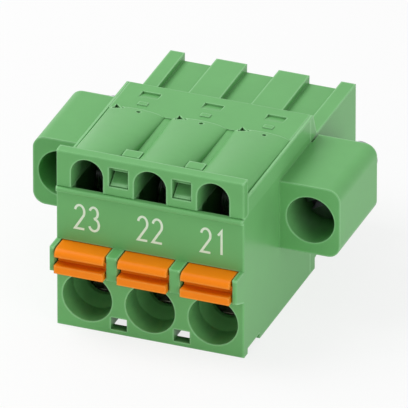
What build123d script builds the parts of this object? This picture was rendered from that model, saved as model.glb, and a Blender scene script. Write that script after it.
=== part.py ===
from build123d import *
import os

# Pluggable terminal block with three spring clamps and two screw flanges.
# X runs across the poles, Z up. While it is modelled, Y starts at the face that the wires enter
# and grows towards the plug end. The origin moves under the middle of the part at the end.

# Grid of the poles
POLES = 3
PITCH = 5.08
SIDE_RELIEF = 0.07        # each side wall stands this far inside the grid, so that blocks fit side by side

# Heights above the flat bottom
HEIGHT = 14.95            # top of the front strip
STRIP_H = 3.08            # front strip of the cover
DECK_DROP = 1.52          # flat deck and side walls, below the top of the strip
PLUG_DROP = 1.93          # top of the plug, below the deck
FLANGE_DROP = 2.95        # axis of the flange screws, below the top of the plug
WIRE_Z = 2.73             # axis of the wire funnels
LEVER_Z = 7.4             # top of the lever openings and of the guides between the levers

# Depths along Y
FRONT_PLATE = 0.85        # front plate, of the same thickness from the strip to the bottom
FRONT_WALL = 1.1          # front wall beside the spring chambers
CARRIER_Y = 14.05         # seam between the housing and the contact carrier
DECK_OVER = 0.55          # rear edge of the deck, behind that seam
COLLAR_L = 1.45           # collar of the carrier, behind the same seam
PLUG_L = 8.24             # plug behind the collar

# Walls and clearances
CHAMBER_W = 4.18          # spring chamber and lever opening of one pole
FLOOR_T = 0.9
RIM_T = 0.2               # thin top of each side wall, beside the cover
SEAM = 0.04               # gap at the seams between mouldings
TIGHT_SEAM = 0.015        # gap beside the deck, where the cover lies close in the housing
EDGE_R = 0.12             # rounded moulded edges
OUT = 1                   # how far a cut runs out past the face it opens
INTO = 0.2                # how far a joined block runs into its neighbour

# Bead under the strip and guides beside the levers
BEAD_H = 0.4
BEAD_OUT = 0.25
BEAD_R = 0.15
GUIDE_OUT = 1.52
GUIDE_H = 2.0
GUIDE_SLOPE = 0.64        # fall of the underside of a guide, from its front to the wall
GUIDE_ROUND = 0.4         # largest rounding of a narrow guide, as a share of its width

# Wire funnel
FUNNEL_R = 2.0
FUNNEL_DEPTH = 2.2
WIRE_R = 1.35
CONE_L = 1.0
FUNNEL_BLOCK_Y = 3.6      # rear of the solid block that holds the funnels

# Cut-outs at the bottom
FOOT_W = 1.3
FOOT_Z = 0.4
FOOT_H = 1.03
NOTCH_L = 2.53
NOTCH_H = 0.46

# Test holes, snap windows and snap hooks of the cover
TEST_R = 1.3
TEST_AXIS_Z = 1.34        # centre of the arch above the seam
TEST_LIP = 0.25           # thickness of the wall under the mouth of a test hole
TEST_LIP_H = 1.2          # height of that thin stretch of wall
WINDOW_W = 1.54
WINDOW_H = 1.62
WINDOW_SILL = 0.76        # sill above the seam
HOOK_GAP = 0.07
HOOK_DROP = 0.87          # top of a hook, below the top of the strip
HOOK_BACK_Y = 3.47
HOOK_TOP_L = 0.95
HOOK_NOSE = 0.4           # how far the nose reaches into the window
HOOK_NOSE_H = 0.2
HOOK_NECK_Y = 1.75        # face of the hook behind its nose
HOOK_ROOT = 1.0
BRIDGE_END_Y = 2.22       # bridge of the cover between the strip and a hook
BRIDGE_H = 0.35

# Vaults on the cover
VALLEY_W = 0.56           # between two vaults at their rear end
VALLEY_FRONT_W = 0.72     # between two vaults at the strip
VALLEY_T = 0.1            # valley floor at its rear end, below the deck
VALLEY_FALL = 0.15        # fall of the valley floor from there to the strip
VAULT_DROP = 0.1          # crown of a vault at the strip, below the top of the strip
VAULT_END_RISE = 0.34     # crown of a vault at its rear end, above the deck
VAULT_END_Y = 10.25
VAULT_WALL = 0.42

# Small marks on the deck
POCKET_W = 1.5
POCKET_L = 0.95
POCKET_T = 0.18
POCKET_BACK = 0.5         # between the pocket and the housing seam
PIP_W = 0.78
PIP_L = 0.5
PIP_H = 0.08
PIP_BEHIND = 1.35         # middle of the pip, behind the end of the vault
DIMPLE_R = 0.17
DIMPLE_X = 0.38
DIMPLE_BEFORE = 0.55      # middle of the dimple, before the end of the vault
DIMPLE_T = 0.12
NICK_X = 1.86             # three-cornered nick at the end of a vault
NICK_L = 1.0
NICK_BEFORE = 0.3         # start of the nick, before the end of the vault
NICK_T = 0.3

# Flanges
FLANGE_W = 4.87
FLANGE_H = 5.75
FLANGE_Y = 7.5
FLANGE_L = 7.9
FLANGE_R = 1.0
FLANGE_CLEAR = 0.15       # between a flange and the collar of the carrier
SCREW_OFFSET = 2.48       # screw axis, outside the side wall
ACCESS_R = 1.93           # bore in front of the seat, for the head and the screwdriver
SEAT_WALL = 2.3           # wall that the screw head seats on

# Captive flange screw
HEAD_R = 1.7
HEAD_H = 2.1
NECK_R = 1.1
NECK_GAP = 0.08
THREAD_R = 1.5
THREAD_OUT = 3.1          # screw end behind the flange
THREAD_START = 0.35       # plain neck between the flange and the thread
SLOT_W = 0.65
SLOT_T = 0.8
SLOT_ANGLE = -31
SCREW_FLOAT = 0.06

# Lever
LEVER_GAP = 0.115         # each side of a lever in its opening
LEVER_OUT = 1.77          # upper lip in front of the wall
LOWER_LIP_OUT = 1.85
LEVER_H = 1.95
LIP_H = 0.6
GROOVE_H = 0.7
GROOVE_T = 0.9
LEVER_R = 0.5
LEVER_TRAVEL = 1.2
LEVER_TOP_GAP = 0.06
LEVER_L = 3.4             # from the face of the wall to the shoulder
NOSE_W = 2.4
NOSE_L = 1.5
NOSE_H = 1.4
LUG_L = 0.8
LUG_H = 0.5
STOP_L = 0.6              # bar across the chamber that ends the travel of the lug

# Contact carrier behind the housing
COLLAR_R = 0.1            # slope on the upper and lower rear edges of the collar
PLUG_H = 7.0
PLUG_ROOT = 0.5           # the plug starts this far behind the housing seam, inside the collar
PIN_DROP = 3.4            # pin axis below the top of the plug
RECESS_W = 2.6            # recess between the coding ribs at the mating end
RECESS_TAPER = 0.075      # each side, narrower at the body
RECESS_T = 0.5
RECESS_CHAMFER = 0.35
SOCKET_W = 3.1
SOCKET_H = 3.3
SOCKET_WALL = 0.9
MOUTH_W = 1.7
MOUTH_H = 2.3
MOUTH_CHAMFER = 0.4
STEP_H = 0.9
STEP_L = 0.45
TONGUE_L = 1.3
TONGUE_T = 1.1
PLUG_R = 0.25
PLUG_LEAD = 0.5           # slope under the mating end

# Current bar
BAR_T = 0.5
BAR_W = 2.6
BAR_FRONT_Y = 3.9
RISER_GAP = 3.65          # riser of the bar, before the housing seam
BAR_R = 0.5
SHELF_L = 2               # upper end of the bar, under the fork
FORK_T = 0.3
FORK_H = 2.2
FORK_X = 0.95
FORK_ROOT = 1.55          # start of the fork, before the housing seam
FORK_STRAIGHT = 1.95      # straight stretch of its arms, behind that seam
FORK_TOUCH_X = 0.42
FORK_FLARE = 0.25
FORK_TOUCH = 1.3          # where the arms touch the pin, before their ends
FORK_SHORT = 0.94         # free room between the fork and the front wall of its socket

# Clamp spring and over-spring
SPRING_T = 0.35
SPRING_W = 3.2
SPRING_FRONT_Y = 6.0
SPRING_TOP_GAP = 1.0
SPRING_R = 1.5
KNEE_Y = 5.75
KNEE_R = 0.8
TIP_Y = 8.4
LEG_END_Z = 2.4
OVER_T = 0.2
OVER_L = 2.6
OVER_H = 1.6
OVER_TOUCH = 4.2
OVER_BEHIND = 0.7         # between the starts of the fork and of the over-spring
CONTACT_GAP = 0.03        # between pieces of sheet metal that lie on each other
TIP_GAP = 0.09            # between the spring tip and the bar, without a wire

# Places that follow from the sizes above
half_w = POLES * PITCH / 2 - SIDE_RELIEF
pole_xs = [(i - (POLES - 1) / 2) * PITCH for i in range(POLES)]
web_xs = [(i - POLES / 2 + 1) * PITCH for i in range(POLES - 1)]
seam_z = HEIGHT - STRIP_H
deck_z = HEIGHT - DECK_DROP
hook_top_z = HEIGHT - HOOK_DROP
plug_top_z = deck_z - PLUG_DROP
flange_z = plug_top_z - FLANGE_DROP
deck_back_y = CARRIER_Y + DECK_OVER
collar_y = CARRIER_Y + COLLAR_L
plug_end_y = collar_y + PLUG_L
slant_end_y = collar_y - COLLAR_R
back_slope = (slant_end_y - deck_back_y) / (deck_z - plug_top_z)
slant_y = deck_back_y + (deck_z - seam_z) * back_slope
lever_w = CHAMBER_W - 2 * LEVER_GAP
lever_top = LEVER_Z - LEVER_TOP_GAP
lever_bottom = lever_top - LEVER_H
guide_w = PITCH - CHAMBER_W
screw_x = half_w + SCREW_OFFSET
flange_back = FLANGE_Y + FLANGE_L
seat_y = flange_back - SEAT_WALL
pin_z = plug_top_z - PIN_DROP
cover_half_w = half_w - RIM_T - SEAM
deck_half_w = half_w - RIM_T - TIGHT_SEAM
vault_half_w = (PITCH - VALLEY_W) / 2
vault_front_half_w = (PITCH - VALLEY_FRONT_W) / 2
valley_end_z = deck_z - VALLEY_T
valley_front_z = valley_end_z - VALLEY_FALL
riser_y = CARRIER_Y - RISER_GAP
fork_end_y = plug_end_y - SOCKET_WALL - FORK_SHORT
fork_touch_y = fork_end_y - FORK_TOUCH
fork_bend_y = CARRIER_Y + FORK_STRAIGHT
fork_start_y = CARRIER_Y - FORK_ROOT
spring_leg_y = riser_y - BAR_T / 2 - SPRING_T / 2 - CONTACT_GAP
nose_end = LEVER_L + NOSE_L
lug_y = FRONT_WALL + LEVER_TOP_GAP
stop_y = lug_y + LUG_L + LEVER_TRAVEL + LEVER_TOP_GAP
knee_z = lever_bottom + NOSE_H / 2


def block(xs, ys, zs):
    """Box between two values of X, of Y and of Z."""
    size = [b - a for a, b in (xs, ys, zs)]
    middle = [(a + b) / 2 for a, b in (xs, ys, zs)]
    return Pos(*middle) * Box(*size)


def side_profile(points, x0, x1):
    """Outline seen from the side, as (y, z) points, drawn out from x0 to x1."""
    face = make_face(Polyline(*points, close=True))
    return extrude(Plane.YZ.offset(x0) * face, x1 - x0)


def facing_y(x, y, z):
    """Plane whose normal is +Y, with its second axis up."""
    return Plane(origin=(x, y, z), x_dir=(-1, 0, 0), z_dir=(0, 1, 0))


def arch(half_width, foot, side, crown):
    """Face with a flat foot, upright sides and a round top. Heights are local."""
    outline = Polyline((-half_width, side), (-half_width, foot), (half_width, foot), (half_width, side))
    return make_face(outline + ThreePointArc((half_width, side), (0, crown), (-half_width, side)))


def bent_strip(points, radii, thickness, width, across):
    """Sheet strip along a bent path. across is the direction of its width."""
    path = FilletPolyline(*points, radius=radii)
    section = Plane(origin=path @ 0, x_dir=across, z_dir=path % 0) * Rectangle(width, thickness)
    return sweep(section, path=path)


def turned(profile, x, z):
    """Body turned from (radius, y) points, with its axis along Y at x and z."""
    face = make_face(Polyline(*profile, close=True))
    return Pos(x, 0, z) * revolve(face, Axis.Y)


def flange(side):
    """Screw flange on one side, with its stepped bore."""
    inner = side * (half_w - RIM_T)
    outer = side * (half_w + FLANGE_W)
    body = block(
        sorted((inner, outer)),
        (FLANGE_Y, flange_back),
        (flange_z - FLANGE_H / 2, flange_z + FLANGE_H / 2),
    )
    outer_edges = body.edges().filter_by(Axis.Y).group_by(Axis.X)[0 if side < 0 else -1]
    return fillet(outer_edges, FLANGE_R)


def flange_bore(side):
    """Bore of one flange: wide up to the seat of the head, with a hole for the neck behind it."""
    hole_r = NECK_R + NECK_GAP
    profile = [
        (0, FLANGE_Y - OUT),
        (ACCESS_R, FLANGE_Y - OUT),
        (ACCESS_R, seat_y),
        (hole_r, seat_y),
        (hole_r, flange_back + OUT),
        (0, flange_back + OUT),
    ]
    return turned(profile, side * screw_x, flange_z)


def guide(x0, x1):
    """Guide that stands in front of the wall beside a lever."""
    foot = LEVER_Z - GUIDE_H
    points = [
        (FRONT_PLATE / 2, LEVER_Z),
        (-GUIDE_OUT, LEVER_Z),
        (-GUIDE_OUT, foot),
        (0, foot - GUIDE_SLOPE),
        (FRONT_PLATE / 2, foot - GUIDE_SLOPE),
    ]
    body = side_profile(points, x0, x1)
    return fillet(body.edges().group_by(Axis.Y)[0], min(EDGE_R, (x1 - x0) * GUIDE_ROUND))


def snap_hook(x):
    """Hook on a web. Its nose reaches into the window of the strip and holds the cover down."""
    half = WINDOW_W / 2 - HOOK_GAP
    sill = seam_z + WINDOW_SILL + HOOK_GAP
    nose_y = FRONT_PLATE - HOOK_NOSE
    points = [
        (HOOK_BACK_Y, seam_z - HOOK_ROOT),
        (HOOK_BACK_Y, hook_top_z),
        (HOOK_BACK_Y - HOOK_TOP_L, hook_top_z),
        (HOOK_NECK_Y, sill + HOOK_NOSE_H),
        (nose_y, sill + HOOK_NOSE_H),
        (nose_y, sill),
        (FRONT_WALL, sill),
        (FRONT_WALL, seam_z - HOOK_ROOT),
    ]
    return side_profile(points, x - half, x + half)


def funnel(x):
    """Round funnel that leads a wire to the clamp."""
    cone_end = FUNNEL_DEPTH + CONE_L
    profile = [
        (0, -OUT),
        (FUNNEL_R, -OUT),
        (FUNNEL_R, FUNNEL_DEPTH),
        (WIRE_R, cone_end),
        (WIRE_R, FUNNEL_BLOCK_Y + OUT),
        (0, FUNNEL_BLOCK_Y + OUT),
    ]
    return turned(profile, x, WIRE_Z)


def make_housing():
    """Housing: walls, webs, guides, flanges and snap hooks in one moulding."""
    shell = block((-half_w, half_w), (0, CARRIER_Y), (0, seam_z))
    shell = fillet(shell.edges().group_by(Axis.Y)[0], EDGE_R)
    bead = block((-half_w, half_w), (-BEAD_OUT, FRONT_PLATE), (seam_z - BEAD_H, seam_z))
    bead = fillet(bead.edges().group_by(Axis.Y)[0], BEAD_R)
    body = shell + bead
    for side in (-1, 1):
        rim = sorted((side * (half_w - RIM_T), side * half_w))
        body += block(rim, (FRONT_PLATE, CARRIER_Y), (seam_z / 2, deck_z))
        body += flange(side)
        body += guide(*sorted((side * (pole_xs[-1] + CHAMBER_W / 2), side * half_w)))
    for x in web_xs:
        body += guide(x - guide_w / 2, x + guide_w / 2)
    shelf_z = lever_bottom - LEVER_TOP_GAP
    for x in pole_xs:
        chamber = (x - CHAMBER_W / 2, x + CHAMBER_W / 2)
        body -= block(chamber, (FUNNEL_BLOCK_Y, CARRIER_Y + OUT), (FLOOR_T, seam_z + OUT))
        body -= block(chamber, (FRONT_WALL, FUNNEL_BLOCK_Y + OUT), (shelf_z, seam_z + OUT))
        body -= block(chamber, (-OUT, FRONT_WALL + OUT), (shelf_z, LEVER_Z))
        body -= funnel(x)
        mouth = (x - TEST_R, x + TEST_R)
        body -= block(mouth, (TEST_LIP, FRONT_WALL + OUT), (seam_z - TEST_LIP_H, seam_z + OUT))
        body += block(chamber, (stop_y, stop_y + STOP_L), (LEVER_Z, LEVER_Z + LUG_H + LEVER_TOP_GAP))
    for x in web_xs:
        foot = (x - FOOT_W / 2, x + FOOT_W / 2)
        body -= block(foot, (-OUT, FRONT_PLATE + NOTCH_L), (FOOT_Z, FOOT_Z + FOOT_H))
        body += snap_hook(x)
    body -= block((-half_w - OUT, half_w + OUT), (FRONT_PLATE, FRONT_PLATE + NOTCH_L), (-OUT, NOTCH_H))
    for side in (-1, 1):
        body -= flange_bore(side)
        # the flange runs on beside the collar of the carrier, clear of it
        gap = sorted((side * (half_w - RIM_T - OUT), side * (half_w + FLANGE_CLEAR)))
        body -= block(gap, (CARRIER_Y, flange_back + OUT), (0, HEIGHT))
    return body


def vault_section(half_width, foot, height):
    """Face of a vault across the pole: half an ellipse on an upright foot. Heights are local."""
    outline = Polyline((-half_width, foot), (-half_width, seam_z), (half_width, seam_z), (half_width, foot))
    crown = EllipticalCenterArc((0, foot), half_width, height, start_angle=0, arc_size=180)
    return make_face(outline + crown)


def vault(x):
    """Outside of the vault over one pole, lower towards its rear end."""
    crown_z = HEIGHT - VAULT_DROP
    front = vault_section(vault_front_half_w, valley_front_z, crown_z - valley_front_z)
    back = vault_section(vault_half_w, valley_end_z, deck_z + VAULT_END_RISE - valley_end_z)
    outside = loft([facing_y(x, FRONT_PLATE / 2, 0) * front, facing_y(x, VAULT_END_Y, 0) * back])
    return outside & block((-cover_half_w, cover_half_w), (0, VAULT_END_Y), (0, HEIGHT))


def test_hole(x):
    """Arched test hole in the strip. The same arch runs on inside the vault and falls with its crown."""
    mouth_z = seam_z + TEST_AXIS_Z
    length = VAULT_END_Y - VAULT_WALL
    fall = mouth_z + TEST_R - (deck_z + VAULT_END_RISE - VAULT_WALL)
    along = Plane(origin=(x, 0, mouth_z), x_dir=(-1, 0, 0), z_dir=(0, length, -fall))
    hollow = extrude(along * arch(TEST_R, -TEST_AXIS_Z * 2, 0, TEST_R), length, both=True)
    return hollow & block((x - TEST_R, x + TEST_R), (-OUT, length), (0, HEIGHT))


def deck_marks(x):
    """Sunk marks behind one vault: ramped pocket, dimple on its crown and three-cornered nick."""
    pocket_y = CARRIER_Y - POCKET_BACK
    ramp = [
        (pocket_y, deck_z + OUT),
        (pocket_y, deck_z - POCKET_T),
        (pocket_y - POCKET_L, deck_z),
        (pocket_y - POCKET_L, deck_z + OUT),
    ]
    marks = side_profile(ramp, x - POCKET_W / 2, x + POCKET_W / 2)
    dimple_z = deck_z + VAULT_END_RISE - DIMPLE_T
    marks += Pos(x + DIMPLE_X, VAULT_END_Y - DIMPLE_BEFORE, dimple_z + OUT / 2) * Cylinder(DIMPLE_R, OUT)
    nick_y = VAULT_END_Y - NICK_BEFORE
    corners = [
        (x - NICK_X, nick_y),
        (x - NICK_X, nick_y + NICK_L),
        (x - NICK_X + NICK_L, nick_y),
    ]
    nick = make_face(Polyline(*corners, close=True))
    return marks + extrude(Pos(0, 0, deck_z - NICK_T) * nick, OUT)


def make_cover():
    """Cover: front strip with the test holes and snap windows, vaults and deck."""
    strip = block((-half_w, half_w), (0, FRONT_PLATE), (seam_z, HEIGHT))
    body = fillet(strip.edges().group_by(Axis.Y)[0], EDGE_R)
    base = [
        (FRONT_PLATE / 2, seam_z),
        (VAULT_END_Y + SEAM, seam_z),
        (VAULT_END_Y + SEAM, deck_z),
        (VAULT_END_Y, deck_z),
        (VAULT_END_Y, valley_end_z),
        (FRONT_PLATE / 2, valley_front_z),
    ]
    body += side_profile(base, -cover_half_w, cover_half_w)
    deck = [(VAULT_END_Y, seam_z), (slant_y, seam_z), (deck_back_y, deck_z), (VAULT_END_Y, deck_z)]
    body += side_profile(deck, -deck_half_w, deck_half_w)
    for x in pole_xs:
        body += vault(x)
    pip_y = VAULT_END_Y + PIP_BEHIND
    for x in pole_xs:
        body -= test_hole(x)
        body -= deck_marks(x)
        sides = (x - PIP_W / 2, x + PIP_W / 2)
        body += block(sides, (pip_y - PIP_L / 2, pip_y + PIP_L / 2), (deck_z - INTO, deck_z + PIP_H))
    for x in web_xs:
        window = (x - WINDOW_W / 2, x + WINDOW_W / 2)
        sill = seam_z + WINDOW_SILL
        body -= block(window, (-OUT, FRONT_PLATE + INTO), (sill, sill + WINDOW_H))
        body -= block(window, (FRONT_PLATE, HOOK_BACK_Y + HOOK_GAP), (seam_z - OUT, HEIGHT + OUT))
        bridge_z = hook_top_z - SEAM
        body += block(window, (FRONT_PLATE - INTO, BRIDGE_END_Y), (bridge_z - BRIDGE_H, bridge_z))
    return body


def make_carrier():
    """Contact carrier: collar behind the housing and the plug with its coding ribs and sockets."""
    collar = [
        (CARRIER_Y, 0),
        (collar_y - STEP_L, 0),
        (collar_y - STEP_L, STEP_H),
        (collar_y, STEP_H + COLLAR_R),
        (collar_y, plug_top_z - 2 * COLLAR_R),
        (slant_end_y, plug_top_z),
        (slant_y, seam_z),
        (CARRIER_Y, seam_z),
    ]
    body = side_profile(collar, -half_w, half_w)
    ear_foot = seam_z - OUT
    ear = [
        (CARRIER_Y, ear_foot),
        (slant_y, ear_foot),
        (slant_y, seam_z),
        (deck_back_y, deck_z),
        (CARRIER_Y, deck_z),
    ]
    for side in (-1, 1):
        body += side_profile(ear, *sorted((side * (half_w - RIM_T), side * half_w)))
    plug_side = [
        (CARRIER_Y + PLUG_ROOT, plug_top_z - PLUG_H),
        (plug_end_y - PLUG_LEAD, plug_top_z - PLUG_H),
        (plug_end_y, plug_top_z - PLUG_H + PLUG_LEAD),
        (plug_end_y, plug_top_z),
        (CARRIER_Y + PLUG_ROOT, plug_top_z),
    ]
    plug = side_profile(plug_side, -half_w, half_w)
    body += fillet(plug.edges().filter_by(Axis.Y).group_by(Axis.Z)[0], PLUG_R)
    for x in pole_xs:
        body -= recess(x)
        body -= socket(x)
        for z0, z1 in ((FLOOR_T + SEAM, FLOOR_T + TONGUE_T), (seam_z - TONGUE_T, seam_z - SEAM)):
            tongue = (x - CHAMBER_W / 2 + SEAM, x + CHAMBER_W / 2 - SEAM)
            body += block(tongue, (CARRIER_Y - TONGUE_L, CARRIER_Y + INTO), (z0, z1))
    return body


def recess(x):
    """Recess on top of the plug over one pole, a little narrower towards the body."""
    floor_z = plug_top_z - RECESS_T
    wide = RECESS_W / 2
    narrow = wide - RECESS_TAPER
    out_y = plug_end_y + OUT
    corners = [(x - narrow, collar_y), (x + narrow, collar_y), (x + wide, out_y), (x - wide, out_y)]
    groove = extrude(Pos(0, 0, floor_z) * make_face(Polyline(*corners, close=True)), RECESS_T + OUT)
    ramp = [
        (plug_end_y - RECESS_CHAMFER, floor_z + INTO),
        (plug_end_y - RECESS_CHAMFER, floor_z),
        (plug_end_y + INTO, floor_z - RECESS_CHAMFER - INTO),
        (plug_end_y + INTO, floor_z + INTO),
    ]
    return groove + side_profile(ramp, x - wide, x + wide)


def socket(x):
    """Chamber for one receptacle, with the mouth that a pin enters."""
    inner_end = plug_end_y - SOCKET_WALL
    room = block(
        (x - SOCKET_W / 2, x + SOCKET_W / 2),
        (CARRIER_Y - OUT, inner_end),
        (pin_z - SOCKET_H / 2, pin_z + SOCKET_H / 2),
    )
    mouth = extrude(facing_y(x, inner_end - INTO, pin_z) * Rectangle(MOUTH_W, MOUTH_H), SOCKET_WALL + OUT)
    wide = Rectangle(MOUTH_W + 2 * MOUTH_CHAMFER, MOUTH_H + 2 * MOUTH_CHAMFER)
    lead_in = loft([
        facing_y(x, plug_end_y - MOUTH_CHAMFER, pin_z) * Rectangle(MOUTH_W, MOUTH_H),
        facing_y(x, plug_end_y, pin_z) * wide,
    ])
    return room + mouth + lead_in


def make_lever(x):
    """Orange lever of one pole: grooved head, guided body, nose on the spring, lug as a stop."""
    points = [
        (LEVER_L, lever_top),
        (-LEVER_OUT, lever_top),
        (-LEVER_OUT, lever_top - LIP_H),
        (-LOWER_LIP_OUT + GROOVE_T, lever_top - LIP_H),
        (-LOWER_LIP_OUT + GROOVE_T, lever_top - LIP_H - GROOVE_H),
        (-LOWER_LIP_OUT, lever_top - LIP_H - GROOVE_H),
        (-LOWER_LIP_OUT, lever_bottom),
        (LEVER_L, lever_bottom),
    ]
    body = side_profile(points, x - lever_w / 2, x + lever_w / 2)
    top_edge = body.edges().filter_by(Axis.X).filter_by_position(Axis.Y, -LEVER_OUT, -LEVER_OUT)
    body = fillet(top_edge.sort_by(Axis.Z)[-1], LEVER_R)
    body += block(
        (x - NOSE_W / 2, x + NOSE_W / 2), (LEVER_L - INTO, nose_end), (lever_bottom, lever_bottom + NOSE_H)
    )
    return body + block(
        (x - NOSE_W / 2, x + NOSE_W / 2), (lug_y, lug_y + LUG_L), (lever_top - INTO, lever_top + LUG_H)
    )


def make_current_bar(x):
    """Copper bar of one pole: clamping floor, riser and the fork that grips the pin."""
    floor_z = FLOOR_T + BAR_T / 2
    shelf_z = pin_z - FORK_H / 2
    path = [
        (x, BAR_FRONT_Y, floor_z),
        (x, riser_y, floor_z),
        (x, riser_y, shelf_z),
        (x, fork_start_y + SHELF_L, shelf_z),
    ]
    body = bent_strip(path, BAR_R, BAR_T, BAR_W, (1, 0, 0))
    for side in (-1, 1):
        arm = [
            (x + side * FORK_X, fork_start_y, pin_z),
            (x + side * FORK_X, fork_bend_y, pin_z),
            (x + side * FORK_TOUCH_X, fork_touch_y, pin_z),
            (x + side * (FORK_TOUCH_X + FORK_FLARE), fork_end_y, pin_z),
        ]
        body += bent_strip(arm, BAR_R, FORK_T, FORK_H, (0, 0, 1))
    return body


def make_clamp_spring(x):
    """Leaf spring of one pole: a loop whose front leg presses the wire on the bar."""
    top_z = seam_z - SPRING_TOP_GAP
    tip_z = FLOOR_T + BAR_T + SPRING_T / 2 + TIP_GAP
    path = [
        (x, spring_leg_y, LEG_END_Z),
        (x, spring_leg_y, top_z),
        (x, SPRING_FRONT_Y, top_z),
        (x, KNEE_Y, knee_z),
        (x, TIP_Y, tip_z),
    ]
    return bent_strip(path, [SPRING_R, SPRING_R, KNEE_R], SPRING_T, SPRING_W, (1, 0, 0))


def make_over_spring(x):
    """Steel spring over the fork of one pole, which presses its arms together."""
    offset = FORK_T / 2 + OVER_T / 2 + CONTACT_GAP
    outer = FORK_X + offset + OVER_T / 2
    bridge_z = pin_z + FORK_H / 2 + CONTACT_GAP
    start = fork_start_y + OVER_BEHIND
    body = block((x - outer, x + outer), (start, start + OVER_L), (bridge_z, bridge_z + OVER_T))
    for side in (-1, 1):
        wall = sorted((x + side * (outer - OVER_T), x + side * outer))
        body += block(wall, (start, start + OVER_L), (pin_z - OVER_H / 2, bridge_z + OVER_T))
        slope = (FORK_X - FORK_TOUCH_X) / (fork_touch_y - fork_bend_y)
        arm = [
            (x + side * (FORK_X + offset), start, pin_z),
            (x + side * (FORK_X + offset), fork_bend_y, pin_z),
            (x + side * (FORK_X + offset - slope * OVER_TOUCH), fork_bend_y + OVER_TOUCH, pin_z),
        ]
        body += bent_strip(arm, BAR_R, OVER_T, OVER_H, (0, 0, 1))
    return body


def make_screw(side):
    """Captive flange screw: slotted head, thin neck in the flange wall, threaded end."""
    x = side * screw_x
    seat = seat_y - SCREW_FLOAT
    end = flange_back + THREAD_OUT
    thread = flange_back + THREAD_START
    profile = [
        (0, seat - HEAD_H),
        (HEAD_R, seat - HEAD_H),
        (HEAD_R, seat),
        (NECK_R, seat),
        (NECK_R, thread),
        (THREAD_R, thread),
        (THREAD_R, end),
        (0, end),
    ]
    body = turned(profile, x, flange_z)
    slot = Rot(0, SLOT_ANGLE, 0) * Box(3 * HEAD_R, SLOT_T * 2, SLOT_W)
    return body - Pos(x, seat - HEAD_H, flange_z) * slot


parts = {
    "housing": make_housing(),
    "top_cover": make_cover(),
    "contact_carrier": make_carrier(),
}
for number, pole_x in enumerate(pole_xs, start=1):
    parts[f"lever_{number}"] = make_lever(pole_x)
    parts[f"clamp_spring_{number}"] = make_clamp_spring(pole_x)
    parts[f"current_bar_{number}"] = make_current_bar(pole_x)
    parts[f"over_spring_{number}"] = make_over_spring(pole_x)
parts["flange_screw_left"] = make_screw(-1)
parts["flange_screw_right"] = make_screw(1)

# The origin lies on the bottom plane, under the middle of the overall box.
middle_y = (plug_end_y - LOWER_LIP_OUT) / 2
os.makedirs("parts", exist_ok=True)
for name, body in parts.items():
    export_step(Pos(0, -middle_y, 0) * body, f"parts/{name}.step")
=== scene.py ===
import math

import bmesh
import bpy
from bpy.props import FloatProperty, FloatVectorProperty, IntProperty, PointerProperty
from mathutils import Matrix, Vector


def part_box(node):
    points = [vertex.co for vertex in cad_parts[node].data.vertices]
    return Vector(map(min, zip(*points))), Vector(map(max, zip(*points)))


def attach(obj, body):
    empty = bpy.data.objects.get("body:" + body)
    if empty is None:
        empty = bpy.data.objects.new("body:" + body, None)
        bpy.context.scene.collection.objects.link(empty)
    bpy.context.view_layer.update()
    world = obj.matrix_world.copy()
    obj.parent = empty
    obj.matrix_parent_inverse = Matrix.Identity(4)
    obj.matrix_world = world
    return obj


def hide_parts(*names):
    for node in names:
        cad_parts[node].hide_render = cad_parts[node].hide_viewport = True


bl_info = {
    "name": "Pluggable terminal block",
    "version": (1, 0, 0),
    "blender": (4, 5, 0),
    "location": "View3D > Sidebar > Terminal Block",
    "description": "Dresses the solids of a three-pole pluggable terminal block and sets its studio",
    "category": "Object",
}

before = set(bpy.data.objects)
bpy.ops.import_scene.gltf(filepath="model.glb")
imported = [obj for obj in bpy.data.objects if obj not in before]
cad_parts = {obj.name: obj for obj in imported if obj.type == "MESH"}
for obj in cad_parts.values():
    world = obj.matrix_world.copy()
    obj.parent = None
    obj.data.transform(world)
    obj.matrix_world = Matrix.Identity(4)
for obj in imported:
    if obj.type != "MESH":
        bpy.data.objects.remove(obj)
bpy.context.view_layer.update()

MM = 0.001
GREEN_NODES = ("housing", "top_cover", "contact_carrier")
LEVER_NODES = tuple(sorted(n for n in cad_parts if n.startswith("lever_")))
COPPER_NODES = tuple(sorted(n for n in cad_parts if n.startswith("current_bar_")))
SPRING_NODES = tuple(sorted(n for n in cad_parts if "_spring_" in n))
SCREW_NODES = tuple(sorted(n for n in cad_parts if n.startswith("flange_screw_")))


def middle(node):
    """Middle of a CAD node's box."""
    low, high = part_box(node)
    return (low + high) / 2


def levers_by_place():
    """Names of the levers from left to right."""
    return sorted(LEVER_NODES, key=lambda n: middle(n).x)


def front_face():
    """Depth of the flat front of the block, which the front strip and the housing share."""
    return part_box("top_cover")[0].y


def to_linear(red, green, blue):
    """Scene colour of a colour that is given as it looks on a screen, from 0 to 255."""
    def channel(value):
        value = value / 255
        return value / 12.92 if value <= 0.04045 else ((value + 0.055) / 1.055) ** 2.4
    return tuple(channel(v) for v in (red, green, blue))


# Properties

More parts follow.
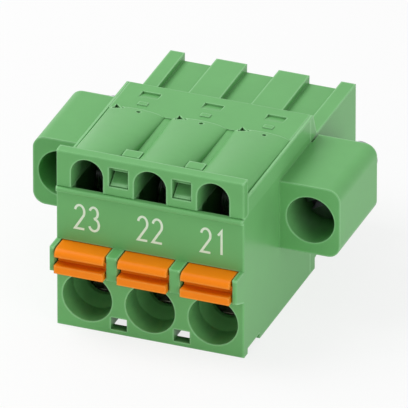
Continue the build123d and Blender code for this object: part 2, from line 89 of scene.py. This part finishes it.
class PlasticSettings(bpy.types.PropertyGroup):
    """Colours and surface of the moulded pieces."""

    green: FloatVectorProperty(
        name="Green", description="Colour of the mouldings", subtype="COLOR", size=3, min=0, max=1,
        default=to_linear(109, 176, 107))
    # Painted highlight colour for the edges of the green mouldings.
    green_edge_highlight: FloatVectorProperty(
        name="Green at edges", description="Paler green of moulded edges", subtype="COLOR", size=3,
        min=0, max=1, default=to_linear(165, 222, 165))
    orange: FloatVectorProperty(
        name="Orange", description="Colour of the levers", subtype="COLOR", size=3, min=0, max=1,
        default=to_linear(252, 134, 2))
    # Painted highlight colour for the edges of the levers.
    orange_edge_highlight: FloatVectorProperty(
        name="Orange at edges", description="Paler orange of the lever edges", subtype="COLOR", size=3,
        min=0, max=1, default=to_linear(252, 160, 60))
    roughness: FloatProperty(
        name="Roughness", description="Roughness of the moulded surface", default=0.34, min=0, max=1)
    lever_roughness: FloatProperty(
        name="Lever roughness", description="Roughness of the levers", default=0.46, min=0, max=1)
    edge_radius: FloatProperty(
        name="Edge radius", description="Rounding of moulded edges", default=0.11 * MM, min=0,
        unit="LENGTH", precision=6)
    grain_size: FloatProperty(
        name="Grain size", description="Width of the fine grain of the mould", default=0.05 * MM, min=0,
        unit="LENGTH", precision=6)


class MetalSettings(bpy.types.PropertyGroup):
    """Colours of the metal pieces."""

    copper: FloatVectorProperty(
        name="Tinned copper", description="Colour of the current bars", subtype="COLOR", size=3,
        min=0, max=1, default=to_linear(214, 206, 190))
    spring: FloatVectorProperty(
        name="Spring steel", description="Colour of the springs", subtype="COLOR", size=3, min=0, max=1,
        default=to_linear(176, 178, 180))
    plating: FloatVectorProperty(
        name="Plated steel", description="Colour of the flange screws", subtype="COLOR", size=3,
        min=0, max=1, default=to_linear(150, 152, 155))


class NumberSettings(bpy.types.PropertyGroup):
    """Printed pole numbers on the front."""

    first: IntProperty(
        name="Left number", default=23, min=10, max=99,
        description="Number of the left pole, made of the digits 1 to 3. It falls by one at each pole")
    height: FloatProperty(
        name="Height", description="Height of a digit", default=2.2 * MM, min=0, unit="LENGTH", precision=6)
    width: FloatProperty(
        name="Width", description="Width of a digit", default=0.94 * MM, min=0, unit="LENGTH", precision=6)
    gap: FloatProperty(
        name="Gap", description="Gap between two digits", default=0.24 * MM, min=0, unit="LENGTH",
        precision=6)
    stroke: FloatProperty(
        name="Stroke", description="Width of a printed line", default=0.19 * MM, min=0, unit="LENGTH",
        precision=6)
    foot: FloatProperty(
        name="Foot", description="Foot of the digits above the flat bottom", default=8.47 * MM, min=0,
        unit="LENGTH", precision=6)
    ink: FloatVectorProperty(
        name="Ink", description="Colour of the print", subtype="COLOR", size=3, min=0, max=1,
        default=to_linear(222, 240, 214))


class ScrewSettings(bpy.types.PropertyGroup):
    """Thread and head of the flange screws."""

    pitch: FloatProperty(
        name="Pitch", description="Pitch of the thread", default=0.5 * MM, min=0, unit="LENGTH",
        precision=6)
    root: FloatProperty(
        name="Root radius", description="Radius at the root of the thread", default=1.22 * MM, min=0,
        unit="LENGTH", precision=6)
    slot_width: FloatProperty(
        name="Slot width", description="Width of the screwdriver slot", default=0.65 * MM, min=0,
        unit="LENGTH", precision=6)
    slot_depth: FloatProperty(
        name="Slot depth", description="Depth of the screwdriver slot", default=0.8 * MM, min=0,
        unit="LENGTH", precision=6)
    slot_angle: FloatProperty(
        name="Slot angle", description="Turn of the slot about the screw axis", default=math.radians(-31),
        subtype="ANGLE")


class StageSettings(bpy.types.PropertyGroup):
    """Floor, light and camera."""

    floor: FloatVectorProperty(
        name="Floor", description="Colour of the floor", subtype="COLOR", size=3, min=0, max=1,
        default=(0.9, 0.9, 0.9))
    whiteness: FloatProperty(
        name="Whiteness", default=0.8, min=0, max=1,
        description="Share of plain white in the floor that the camera and reflections see")
    sky: FloatProperty(
        name="Room light", description="Strength of the light from all round", default=0.55, min=0)
    key: FloatProperty(
        name="Key light", description="Power of the soft lamp above on the left", default=0.21, min=0,
        unit="POWER")
    fill: FloatProperty(
        name="Fill light", description="Power of the low soft lamp on the right", default=0.12, min=0,
        unit="POWER")
    azimuth: FloatProperty(
        name="Azimuth", description="Camera to the right of straight ahead", default=math.radians(21.117),
        subtype="ANGLE")
    elevation: FloatProperty(
        name="Elevation", description="Camera above the horizon", default=math.radians(28.809),
        subtype="ANGLE")
    distance: FloatProperty(
        name="Distance", description="Camera to the middle of the view", default=1374.985 * MM, min=0,
        unit="LENGTH")
    lens: FloatProperty(
        name="Lens", description="Focal length in millimetres on a 36 mm film", default=1600, min=1)
    aim_right: FloatProperty(
        name="Aim to the right", description="Middle of the view, right of the origin",
        default=0.114 * MM, unit="LENGTH", precision=6)
    aim_up: FloatProperty(
        name="Aim up", description="Middle of the view, above the origin", default=5.407 * MM,
        unit="LENGTH", precision=6)


# Shader groups

MASK_RAYS = 8             # rays for each mask and for the rounded normal
EDGE_REACH = 2.0          # how deep the edge mask looks into the material, in rounding radii
EDGE_START = 0.88         # open share inside the material at which the edge mask starts
EDGE_FULL = 0.62          # open share inside the material at which it is full
# The recess mask paints shade into the colour of holes and grooves.
RECESS_START = 0.52       # open share outside the surface at which the recess mask starts
RECESS_FULL = 0.2         # open share outside the surface at which it is full


def new_group(name, inputs, outputs):
    """Empty shader node group with named sockets. Each input is (name, kind, default)."""
    group = bpy.data.node_groups.new(name, "ShaderNodeTree")
    for label, kind, default in inputs:
        socket = group.interface.new_socket(label, in_out="INPUT", socket_type=kind)
        socket.default_value = default
    for label, kind in outputs:
        group.interface.new_socket(label, in_out="OUTPUT", socket_type=kind)
    return group, group.nodes.new("NodeGroupInput"), group.nodes.new("NodeGroupOutput")


def add_node(tree, kind, links=(), **settings):
    """Node of one kind. links holds (input name or number, source socket or value)."""
    node = tree.nodes.new(kind)
    for key, value in settings.items():
        setattr(node, key, value)
    for where, source in links:
        if isinstance(source, bpy.types.NodeSocket):
            tree.links.new(source, node.inputs[where])
        else:
            node.inputs[where].default_value = source
    return node


def product(tree, value, factor):
    """Socket of a value times a factor."""
    return add_node(tree, "ShaderNodeMath", [(0, value), (1, factor)], operation="MULTIPLY").outputs[0]


def swing(tree, value, centre, reach):
    """Socket that swings as far as reach to both sides of a centre while the value goes from 0 to 1."""
    span = add_node(
        tree, "ShaderNodeMapRange",
        [("Value", value), ("To Min", centre - reach), ("To Max", centre + reach)])
    return span.outputs[0]


def rising_mask(tree, value, start, full):
    """Socket of a mask that rises from 0 to 1 while the value goes from start to full."""
    span = add_node(
        tree, "ShaderNodeMapRange", [("Value", value), ("From Min", start), ("From Max", full)])
    return span.outputs[0]


def mixed_colour(tree, share, first, second):
    """Socket of a colour between two. Each is a socket or a colour with alpha."""
    mix = add_node(
        tree, "ShaderNodeMix", [("Factor", share), ("A", first), ("B", second)], data_type="RGBA")
    return mix.outputs[2]


def soft_edge_group():
    """Rounded normal at sharp edges, and a mask that is 1 on edges that stand out."""
    group, enter, leave = new_group(
        "Soft edge", [("Radius", "NodeSocketFloat", 0.1 * MM)],
        [("Normal", "NodeSocketVector"), ("Edge", "NodeSocketFloat")])
    radius = enter.outputs["Radius"]
    rounded = add_node(group, "ShaderNodeBevel", [("Radius", radius)], samples=MASK_RAYS)
    thin = add_node(
        group, "ShaderNodeAmbientOcclusion", [("Distance", product(group, radius, EDGE_REACH))],
        samples=MASK_RAYS, inside=True, only_local=True)
    mask = rising_mask(group, thin.outputs["AO"], EDGE_START, EDGE_FULL)
    group.links.new(rounded.outputs["Normal"], leave.inputs["Normal"])
    group.links.new(mask, leave.inputs["Edge"])
    return group


def recess_shade_group():
    """Mask that is 1 deep in holes and grooves, where the colour is darkened as painted shade."""
    group, enter, leave = new_group(
        "Recess", [("Reach", "NodeSocketFloat", 3 * MM)], [("Recess", "NodeSocketFloat")])
    open_share = add_node(
        group, "ShaderNodeAmbientOcclusion", [("Distance", enter.outputs["Reach"])], samples=MASK_RAYS,
        only_local=True)
    mask = rising_mask(group, open_share.outputs["AO"], RECESS_START, RECESS_FULL)
    group.links.new(mask, leave.inputs["Recess"])
    return group


def grain_group():
    """Fine grain of a mould or of rolled metal as a height, and a slow drift of tone from 0 to 1."""
    group, enter, leave = new_group(
        "Surface grain",
        [("Grain Size", "NodeSocketFloat", 0.05 * MM), ("Drift Size", "NodeSocketFloat", 3 * MM),
         ("Stretch", "NodeSocketVector", (1.0, 1.0, 1.0))],
        [("Height", "NodeSocketFloat"), ("Drift", "NodeSocketFloat")])
    place = add_node(group, "ShaderNodeTexCoord")
    stretched = add_node(
        group, "ShaderNodeVectorMath", [(0, place.outputs["Object"]), (1, enter.outputs["Stretch"])],
        operation="MULTIPLY")

    def noise(size_name, detail):
        scale = add_node(
            group, "ShaderNodeMath", [(0, 1.0), (1, enter.outputs[size_name])], operation="DIVIDE")
        return add_node(
            group, "ShaderNodeTexNoise",
            [("Vector", stretched.outputs[0]), ("Scale", scale.outputs[0]), ("Detail", detail),
             ("Roughness", 0.55)])

    group.links.new(noise("Grain Size", 2.0).outputs["Fac"], leave.inputs["Height"])
    group.links.new(noise("Drift Size", 3.0).outputs["Fac"], leave.inputs["Drift"])
    return group


def group_node(tree, name, make, values):
    """A shared group, made once, placed in a material with its own values."""
    group = bpy.data.node_groups.get(name) or make()
    return add_node(tree, "ShaderNodeGroup", values, node_tree=group)


# Materials

GRAIN_DEPTH = 0.002 * MM  # height of the fine grain at full strength
RECESS_REACH = 4 * MM     # how far round a spot the plastic looks for walls
# The paler edge colour is a painted highlight on edges that stand out.
EDGE_SHARE = 0.5          # share of the paler colour on the edges of plastic
METAL_EDGE = 0.03 * MM    # rounding of the edges of metal
METAL_EDGE_BRIGHTENING = 0.25         # share of the brighter colour on the edges of metal


def start_material(name):
    """Material with only a Principled shader and its output."""
    material = bpy.data.materials.new(name)
    material.use_nodes = True
    tree = material.node_tree
    shader = next(n for n in tree.nodes if n.type == "BSDF_PRINCIPLED")
    return material, tree, shader


def feed(tree, shader, **sources):
    """Links sockets to inputs of the shader, which are named with underscores for spaces."""
    for name, source in sources.items():
        tree.links.new(source, shader.inputs[name.replace("_", " ")])


def scaled(colour, factor):
    """Colour made darker or lighter, with alpha."""
    return (*[min(c * factor, 1.0) for c in colour], 1.0)


def drifting_tone(tree, grain, colour, darkest, brightest):
    """Socket of a colour that drifts between two shares of itself."""
    return mixed_colour(tree, grain.outputs["Drift"], scaled(colour, darkest), scaled(colour, brightest))


def grained_normal(tree, grain, strength, rounded=None):
    """Socket of the normal with the fine grain on it, over a rounded normal if there is one."""
    links = [("Strength", strength), ("Distance", GRAIN_DEPTH), ("Height", grain.outputs["Height"])]
    if rounded is not None:
        links.append(("Normal", rounded))
    return add_node(tree, "ShaderNodeBump", links).outputs["Normal"]


def moulded_plastic(name, colour, edge_colour, roughness, settings, gloss, recess_shade):
    """Semi-gloss moulded plastic: painted highlights on rounded edges, painted shade in recesses, fine
    grain and a drift of tone.
    """
    material, tree, shader = start_material(name)
    edge = group_node(tree, "Soft edge", soft_edge_group, [("Radius", settings.edge_radius)])
    recess = group_node(tree, "Recess", recess_shade_group, [("Reach", RECESS_REACH)])
    grain = group_node(
        tree, "Surface grain", grain_group, [("Grain Size", settings.grain_size), ("Drift Size", 2.5 * MM)])
    tone = drifting_tone(tree, grain, colour, 0.93, 1.07)
    # Painted highlight: the paler colour is mixed in on edges that stand out.
    pale = product(tree, edge.outputs["Edge"], EDGE_SHARE)
    edged = mixed_colour(tree, pale, tone, (*edge_colour, 1.0))
    feed(
        tree, shader,
        # Painted shade: deep in holes and grooves the colour darkens towards a share of itself.
        Base_Color=mixed_colour(tree, recess.outputs["Recess"], edged, scaled(colour, recess_shade)),
        Roughness=swing(tree, grain.outputs["Drift"], roughness, 0.04),
        Normal=grained_normal(tree, grain, 0.12, edge.outputs["Normal"]))
    shader.inputs["IOR"].default_value = 1.5
    shader.inputs["Specular IOR Level"].default_value = gloss
    return material


def sheet_metal(name, colour, roughness, stretch):
    """Rolled or plated metal: fine lines along the sheet, brighter edges and a cloudy tone."""
    material, tree, shader = start_material(name)
    edge = group_node(tree, "Soft edge", soft_edge_group, [("Radius", METAL_EDGE)])
    grain = group_node(
        tree, "Surface grain", grain_group,
        [("Grain Size", 0.06 * MM), ("Drift Size", 1.2 * MM), ("Stretch", stretch)])
    tone = drifting_tone(tree, grain, colour, 0.85, 1.08)
    # The edges of the metal are drawn in a brighter copy of its colour.
    bright = product(tree, edge.outputs["Edge"], METAL_EDGE_BRIGHTENING)
    feed(
        tree, shader,
        Base_Color=mixed_colour(tree, bright, tone, scaled(colour, 1.3)),
        Roughness=swing(tree, grain.outputs["Height"], roughness, 0.08),
        Normal=grained_normal(tree, grain, 0.2, edge.outputs["Normal"]))
    shader.inputs["Metallic"].default_value = 1.0
    return material


def printing_ink(name, colour):
    """Thin pad-printed ink, a little uneven where it is thin."""
    material, tree, shader = start_material(name)
    grain = group_node(
        tree, "Surface grain", grain_group, [("Grain Size", 0.03 * MM), ("Drift Size", 0.25 * MM)])
    feed(
        tree, shader,
        Base_Color=drifting_tone(tree, grain, colour, 0.86, 1.06),
        Normal=grained_normal(tree, grain, 0.2))
    shader.inputs["Roughness"].default_value = 0.5
    return material


# Meshes

def new_piece(name, vertices, faces, body, material):
    """Mesh piece in the frame of the part, riding on a body."""
    mesh = bpy.data.meshes.new(name)
    mesh.from_pydata(vertices, [], faces)
    mesh.validate()
    piece = bpy.data.objects.new(name, mesh)
    bpy.context.scene.collection.objects.link(piece)
    mesh.materials.append(material)
    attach(piece, body)
    return piece


def shade_smooth(piece, angle):
    """Smooth faces, with edges sharper than the angle kept sharp."""
    shape = bmesh.new()
    shape.from_mesh(piece.data)
    bmesh.ops.recalc_face_normals(shape, faces=shape.faces)
    for face in shape.faces:
        face.smooth = True
    for edge in shape.edges:
        edge.smooth = len(edge.link_faces) == 2 and edge.calc_face_angle(0) < angle
    shape.to_mesh(piece.data)
    shape.free()


def dress(nodes, material):
    """Gives CAD nodes a material."""
    for name in nodes:
        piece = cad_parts[name]
        piece.data.materials.clear()
        piece.data.materials.append(material)


# Printed numbers

PRINT_LAYER = 0.01 * MM   # each line of a digit stands this far in front of the one before
MITRE_LIMIT = 0.35        # smallest cosine that a mitred corner is drawn out for


def arc(x, z, radius_x, radius_z, start, end, steps=14):
    """Points of an arc in a box of unit width and height, with angles in degrees."""
    angles = [math.radians(start + (end - start) * i / steps) for i in range(steps + 1)]
    return [(x + radius_x * math.cos(a), z + radius_z * math.sin(a)) for a in angles]


def digit_lines(digit):
    """Centre lines of a digit, in a box from 0 to 1 both ways."""
    if digit == "1":
        return [[(0.25, 0.8), (0.62, 1.0), (0.62, 0.0)]]
    if digit == "2":
        return [arc(0.5, 0.72, 0.5, 0.28, 165, -35) + [(0.0, 0.0), (1.0, 0.0)]]
    if digit == "3":
        return [arc(0.44, 0.76, 0.44, 0.24, 160, -90), arc(0.47, 0.26, 0.53, 0.26, 90, -160)]
    raise ValueError(f"no drawing for the digit {digit}")


def ribbon(points, width):
    """Left and right edge of a line of constant width through the points, with mitred corners."""
    left, right = [], []
    for i, point in enumerate(points):
        here = Vector(point)
        before = (here - Vector(points[i - 1])).normalized() if i else None
        after = (Vector(points[i + 1]) - here).normalized() if i + 1 < len(points) else None
        along = ((before or after) + (after or before)).normalized()
        side = Vector((-along.y, along.x))
        cosine = side.dot(Vector((-(before or after).y, (before or after).x)))
        reach = width / 2 / max(cosine, MITRE_LIMIT)
        left.append(here + side * reach)
        right.append(here - side * reach)
    return left, right


def add_strip(vertices, faces, sides, near, deep):
    """Adds a thin closed strip between two rows of points."""
    start, count = len(vertices), len(sides[0])
    for depth in (near, deep):
        for row in sides:
            vertices.extend((p.x, depth, p.y) for p in row)

    def at(layer, row, i):
        return start + (layer * 2 + row) * count + i

    for i in range(count - 1):
        faces.append((at(0, 0, i), at(0, 0, i + 1), at(0, 1, i + 1), at(0, 1, i)))
        faces.append((at(1, 1, i), at(1, 1, i + 1), at(1, 0, i + 1), at(1, 0, i)))
        for row in (0, 1):
            faces.append((at(0, row, i), at(1, row, i), at(1, row, i + 1), at(0, row, i + 1)))
    for i in (0, count - 1):
        faces.append((at(0, 0, i), at(0, 1, i), at(1, 1, i), at(1, 0, i)))


def pole_numbers(settings):
    """Vertices and faces of the printed digits on the front of the housing."""
    vertices, faces = [], []
    face_y = front_face()
    pair = 2 * settings.width + settings.gap
    inset = settings.stroke / 2
    for place, lever in enumerate(levers_by_place()):
        for index, digit in enumerate(str(settings.first - place)):
            left_x = middle(lever).x - pair / 2 + index * (settings.width + settings.gap)
            for layer, line in enumerate(digit_lines(digit), 1):
                points = [
                    (left_x + inset + x * (settings.width - 2 * inset),
                     settings.foot + inset + z * (settings.height - 2 * inset)) for x, z in line]
                sides = ribbon(points, settings.stroke)
                add_strip(vertices, faces, sides, face_y - layer * PRINT_LAYER, face_y + PRINT_LAYER)
    return vertices, faces


# Ramps of the snap hooks

WINDOW_SILL = 0.76 * MM   # foot of the windows, above the foot of the front strip
CATCH_HALF = 0.69 * MM    # half the width of a ramp, which is a little narrower than its window


def catch_ramp(x):
    """Vertices and faces of the ramp of a snap hook, as it shows in a window of the front strip."""
    front, sill = front_face(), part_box("top_cover")[0].z + WINDOW_SILL
    # depth behind the front and height above the sill, in millimetres
    profile = [(0.12, 0.05), (0.12, 0.1), (1.55, 1.14), (2.45, 1.14), (2.7, 1.0), (2.2, 0.08)]
    vertices = [
        (x + side, front + y * MM, sill + z * MM) for side in (-CATCH_HALF, CATCH_HALF) for y, z in profile]
    count = len(profile)
    faces = [(i, (i + 1) % count, (i + 1) % count + count, i + count) for i in range(count)]
    faces += [tuple(reversed(range(count))), tuple(range(count, 2 * count))]
    return vertices, faces


# Flange screws

ROUND_STEPS = 72
STEPS_A_TURN = 12
THREAD_R = 1.5 * MM
THREAD_L = 2.75 * MM
THREAD_START = 0.2 * MM   # length over which the thread grows to its full height
TIP_SLOPE = 0.45 * MM     # length of the slope at the tip, which ends with the radius of the neck
NECK_R = 1.1 * MM
NECK_RING = 0.12 * MM     # the last ring of the plain neck stands this far before the thread
HEAD_L = 2.1 * MM
HEAD_EDGE = 0.08 * MM     # bevel of the rear edge of the head. The front edge is rounded by twice as much
RIDGE_GAIN = 1.25         # height of the triangle that the thread is cut from, which leaves a flat crest
RIDGE_SINK = 0.12         # how far the foot of that triangle is cut off, which leaves a flat root


def screw_profile(node, settings):
    """Rows of (y, radius, share of the thread) along the screw, from the head to the tip."""
    low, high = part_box(node)
    head_r = (high.x - low.x) / 2
    seat, thread_y = low.y + HEAD_L, high.y - THREAD_L
    rows = [(low.y, head_r - 2 * HEAD_EDGE, 0), (low.y + 0.6 * HEAD_EDGE, head_r - 0.8 * HEAD_EDGE, 0)]
    rows += [(low.y + 2 * HEAD_EDGE, head_r, 0), (seat - HEAD_EDGE, head_r, 0)]
    rows += [(seat, head_r - HEAD_EDGE, 0), (seat, NECK_R, 0), (thread_y - NECK_RING, NECK_R, 0)]
    count = int((high.y - thread_y) / settings.pitch * STEPS_A_TURN)
    for i in range(count + 1):
        y = thread_y + (high.y - thread_y) * i / count
        share = min(1, (y - thread_y) / THREAD_START, (high.y - y) / TIP_SLOPE)
        rows.append((y, NECK_R + (THREAD_R - NECK_R) * share, max(share, 0)))
    return rows


def screw_mesh(node, settings):
    """Vertices and faces of a threaded screw. The head is still without its slot."""
    centre = middle(node)
    rows = screw_profile(node, settings)
    vertices, faces = [], []
    for y, radius, share in rows:
        for k in range(ROUND_STEPS):
            angle = 2 * math.pi * k / ROUND_STEPS
            phase = (y / settings.pitch - k / ROUND_STEPS) % 1
            ridge = min(1, max(0, RIDGE_GAIN * (1 - abs(2 * phase - 1)) - RIDGE_SINK))
            here = radius - (THREAD_R - settings.root) * (1 - ridge) * share
            vertices.append((centre.x + here * math.cos(angle), y, centre.z + here * math.sin(angle)))
    for j in range(len(rows) - 1):
        for k in range(ROUND_STEPS):
            a, b = j * ROUND_STEPS + k, j * ROUND_STEPS + (k + 1) % ROUND_STEPS
            faces.append((a, b, b + ROUND_STEPS, a + ROUND_STEPS))
    faces.append(tuple(range(ROUND_STEPS)))
    last = (len(rows) - 1) * ROUND_STEPS
    faces.append(tuple(reversed(range(last, last + ROUND_STEPS))))
    return vertices, faces


def cut_slot(piece, node, settings):
    """Cuts the screwdriver slot right across the head."""
    low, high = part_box(node)
    centre = middle(node)
    length = 1.5 * (high.x - low.x)
    bpy.ops.mesh.primitive_cube_add(size=1)
    cutter = bpy.context.object
    cutter.data.transform(Matrix.Diagonal((length, 2 * settings.slot_depth, settings.slot_width, 1)))
    turn = Matrix.Rotation(settings.slot_angle, 4, "Y")
    cutter.data.transform(Matrix.Translation((centre.x, low.y, centre.z)) @ turn)
    boolean = piece.modifiers.new("Slot", "BOOLEAN")
    boolean.object = cutter
    boolean.operation = "DIFFERENCE"
    boolean.solver = "EXACT"
    bpy.context.view_layer.update()
    cut = bpy.data.meshes.new_from_object(piece.evaluated_get(bpy.context.evaluated_depsgraph_get()))
    piece.modifiers.clear()
    piece.data = cut
    bpy.data.objects.remove(cutter)


# Camera, floor and light

FILM_WIDTH = 36           # in millimetres, as Blender counts it
FLOOR_HALF = 4.0
FLOOR_ROUGHNESS = 0.9
LAMP_DISTANCE = 0.2
KEY_SIDE = Vector((-0.52, -0.06, 0.85))
KEY_SIZE = 0.12
FILL_SIDE = Vector((0.82, -0.48, 0.15))
FILL_SIZE = 0.1


def set_camera(settings):
    """Camera at the viewing angle of the photograph."""
    azimuth, elevation = settings.azimuth, settings.elevation
    back = Vector((
        math.sin(azimuth) * math.cos(elevation), -math.cos(azimuth) * math.cos(elevation),
        math.sin(elevation)))
    right = Vector((math.cos(azimuth), math.sin(azimuth), 0))
    up = back.cross(right)
    aim = right * settings.aim_right + up * settings.aim_up
    data = bpy.data.cameras.new("Camera")
    data.lens = settings.lens
    data.sensor_width = FILM_WIDTH
    data.clip_start = 0.1
    data.clip_end = 10
    camera = bpy.data.objects.new("Camera", data)
    bpy.context.scene.collection.objects.link(camera)
    axes = Matrix((right, up, back)).transposed().to_4x4()
    camera.matrix_world = Matrix.Translation(aim + back * settings.distance) @ axes
    bpy.context.scene.camera = camera


def seen_directly(tree):
    """Socket that is 1 for what the camera, a reflection or glass sees, and 0 for light that it gives."""
    rays = add_node(tree, "ShaderNodeLightPath")
    seen = rays.outputs["Is Camera Ray"]
    for kind in ("Is Glossy Ray", "Is Transmission Ray"):
        seen = add_node(
            tree, "ShaderNodeMath", [(0, seen), (1, rays.outputs[kind])], operation="MAXIMUM").outputs[0]
    return seen


def set_floor(settings):
    """Pale floor that carries the shadow of the part. The camera and reflections see it whiter."""
    mesh = bpy.data.meshes.new("floor")
    corners = [(x * FLOOR_HALF, y * FLOOR_HALF, 0) for x, y in ((-1, -1), (1, -1), (1, 1), (-1, 1))]
    mesh.from_pydata(corners, [], [(0, 1, 2, 3)])
    floor = bpy.data.objects.new("floor", mesh)
    bpy.context.scene.collection.objects.link(floor)
    material, tree, shader = start_material("Pale floor")
    shader.inputs["Base Color"].default_value = (*settings.floor, 1)
    shader.inputs["Roughness"].default_value = FLOOR_ROUGHNESS
    white = add_node(tree, "ShaderNodeEmission", [("Color", (1, 1, 1, 1)), ("Strength", 1.0)])
    share = product(tree, seen_directly(tree), settings.whiteness)
    mixed = add_node(
        tree, "ShaderNodeMixShader", [(0, share), (1, shader.outputs[0]), (2, white.outputs[0])])
    ending = next(n for n in tree.nodes if n.type == "OUTPUT_MATERIAL")
    tree.links.new(mixed.outputs[0], ending.inputs["Surface"])
    mesh.materials.append(material)


def set_room_light(settings):
    """Even light from all round, in front of a white background."""
    world = bpy.data.worlds.new("Room")
    bpy.context.scene.world = world
    world.use_nodes = True
    tree = world.node_tree
    background = next(n for n in tree.nodes if n.type == "BACKGROUND")
    background.inputs["Color"].default_value = (1, 1, 1, 1)
    strength = add_node(
        tree, "ShaderNodeMix", [("Factor", seen_directly(tree)), ("A", settings.sky), ("B", 1.0)])
    tree.links.new(strength.outputs[0], background.inputs["Strength"])


def set_lamp(name, side, size, power):
    """Square soft lamp that shines on the part from one side."""
    data = bpy.data.lights.new(name, "AREA")
    data.shape = "SQUARE"
    data.size = size
    data.energy = power
    lamp = bpy.data.objects.new(name, data)
    bpy.context.scene.collection.objects.link(lamp)
    direction = side.normalized()
    turn = direction.to_track_quat("Z", "Y").to_matrix().to_4x4()
    lamp.matrix_world = Matrix.Translation(direction * LAMP_DISTANCE) @ turn


# Operators

class SetStage(bpy.types.Operator):
    """Set the camera, the floor and the lights"""

    bl_idname = "terminal_block.set_stage"
    bl_label = "Stage"

    def execute(self, context):
        settings = context.scene.block_stage
        context.scene.view_settings.view_transform = "Standard"
        set_camera(settings)
        set_floor(settings)
        set_room_light(settings)
        set_lamp("Key lamp", KEY_SIDE, KEY_SIZE, settings.key)
        set_lamp("Fill lamp", FILL_SIDE, FILL_SIZE, settings.fill)
        return {"FINISHED"}


class DressPlastic(bpy.types.Operator):
    """Give the green mouldings and the orange levers their plastic"""

    bl_idname = "terminal_block.dress_plastic"
    bl_label = "Moulded plastic"

    def execute(self, context):
        settings = context.scene.block_plastic
        # recess_shade sets how dark the painted shade in holes and grooves gets.
        green = moulded_plastic(
            "Green plastic", settings.green, settings.green_edge_highlight, settings.roughness, settings,
            gloss=0.16, recess_shade=0.5)
        dress(GREEN_NODES, green)
        orange = moulded_plastic(
            "Orange plastic", settings.orange, settings.orange_edge_highlight, settings.lever_roughness, settings,
            gloss=0.2, recess_shade=0.75)
        dress(LEVER_NODES, orange)
        return {"FINISHED"}


class DressMetal(bpy.types.Operator):
    """Give the current bars and the springs their metal"""

    bl_idname = "terminal_block.dress_metal"
    bl_label = "Bars and springs"

    def execute(self, context):
        settings = context.scene.block_metal
        copper = sheet_metal("Tinned copper", settings.copper, 0.35, (1, 0.1, 1))
        dress(COPPER_NODES, copper)
        steel = sheet_metal("Spring steel", settings.spring, 0.28, (1, 0.1, 0.1))
        dress(SPRING_NODES, steel)
        return {"FINISHED"}


class AddCatches(bpy.types.Operator):
    """Make the ramps of the snap hooks, which show in the windows of the front strip"""

    bl_idname = "terminal_block.add_catches"
    bl_label = "Snap catches"

    def execute(self, context):
        green = bpy.data.materials["Green plastic"]
        levers = levers_by_place()
        for number, (left, right) in enumerate(zip(levers, levers[1:]), 1):
            vertices, faces = catch_ramp((middle(left).x + middle(right).x) / 2)
            piece = new_piece(f"snap_catch_{number}", vertices, faces, "block", green)
            shade_smooth(piece, math.radians(20))
        return {"FINISHED"}


class AddScrews(bpy.types.Operator):
    """Make the threaded flange screws with their slotted heads"""

    bl_idname = "terminal_block.add_screws"
    bl_label = "Flange screws"

    def execute(self, context):
        settings = context.scene.block_screws
        steel = sheet_metal("Plated steel", context.scene.block_metal.plating, 0.3, (1, 1, 1))
        for node in SCREW_NODES:
            side = node.rsplit("_", 1)[1]
            vertices, faces = screw_mesh(node, settings)
            piece = new_piece(
                f"threaded_screw_{side}", vertices, faces, f"screw_{side}", steel)
            cut_slot(piece, node, settings)
            shade_smooth(piece, math.radians(40))
            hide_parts(node)
        return {"FINISHED"}


class PrintNumbers(bpy.types.Operator):
    """Print the pole numbers on the front"""

    bl_idname = "terminal_block.print_numbers"
    bl_label = "Pole numbers"

    def execute(self, context):
        settings = context.scene.block_numbers
        vertices, faces = pole_numbers(settings)
        ink = printing_ink("Printing ink", settings.ink)
        new_piece("pole_numbers", vertices, faces, "block", ink)
        return {"FINISHED"}


STEPS = (SetStage, DressPlastic, DressMetal, AddCatches, AddScrews, PrintNumbers)


class BlockPanel(bpy.types.Panel):
    """Lists the steps that dress the terminal block"""

    bl_idname = "VIEW3D_PT_terminal_block"
    bl_label = "Terminal Block"
    bl_space_type = "VIEW_3D"
    bl_region_type = "UI"
    bl_category = "Terminal Block"

    def draw(self, context):
        for step in STEPS:
            self.layout.operator(step.bl_idname)


SETTINGS = {
    "block_plastic": PlasticSettings,
    "block_metal": MetalSettings,
    "block_numbers": NumberSettings,
    "block_screws": ScrewSettings,
    "block_stage": StageSettings,
}


def register():
    """Registers the classes and gives the scene their settings."""
    for kind in (*SETTINGS.values(), *STEPS, BlockPanel):
        bpy.utils.register_class(kind)
    for name, kind in SETTINGS.items():
        setattr(bpy.types.Scene, name, PointerProperty(type=kind))


def unregister():
    """Takes the settings and the classes away again."""
    for name in SETTINGS:
        delattr(bpy.types.Scene, name)
    for kind in reversed((*SETTINGS.values(), *STEPS, BlockPanel)):
        bpy.utils.unregister_class(kind)


def main():
    """Registers the add-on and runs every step."""
    register()
    bpy.ops.terminal_block.set_stage()
    bpy.ops.terminal_block.dress_plastic()
    bpy.ops.terminal_block.dress_metal()
    bpy.ops.terminal_block.add_catches()
    bpy.ops.terminal_block.add_screws()
    bpy.ops.terminal_block.print_numbers()


if __name__ == "__main__":
    main()
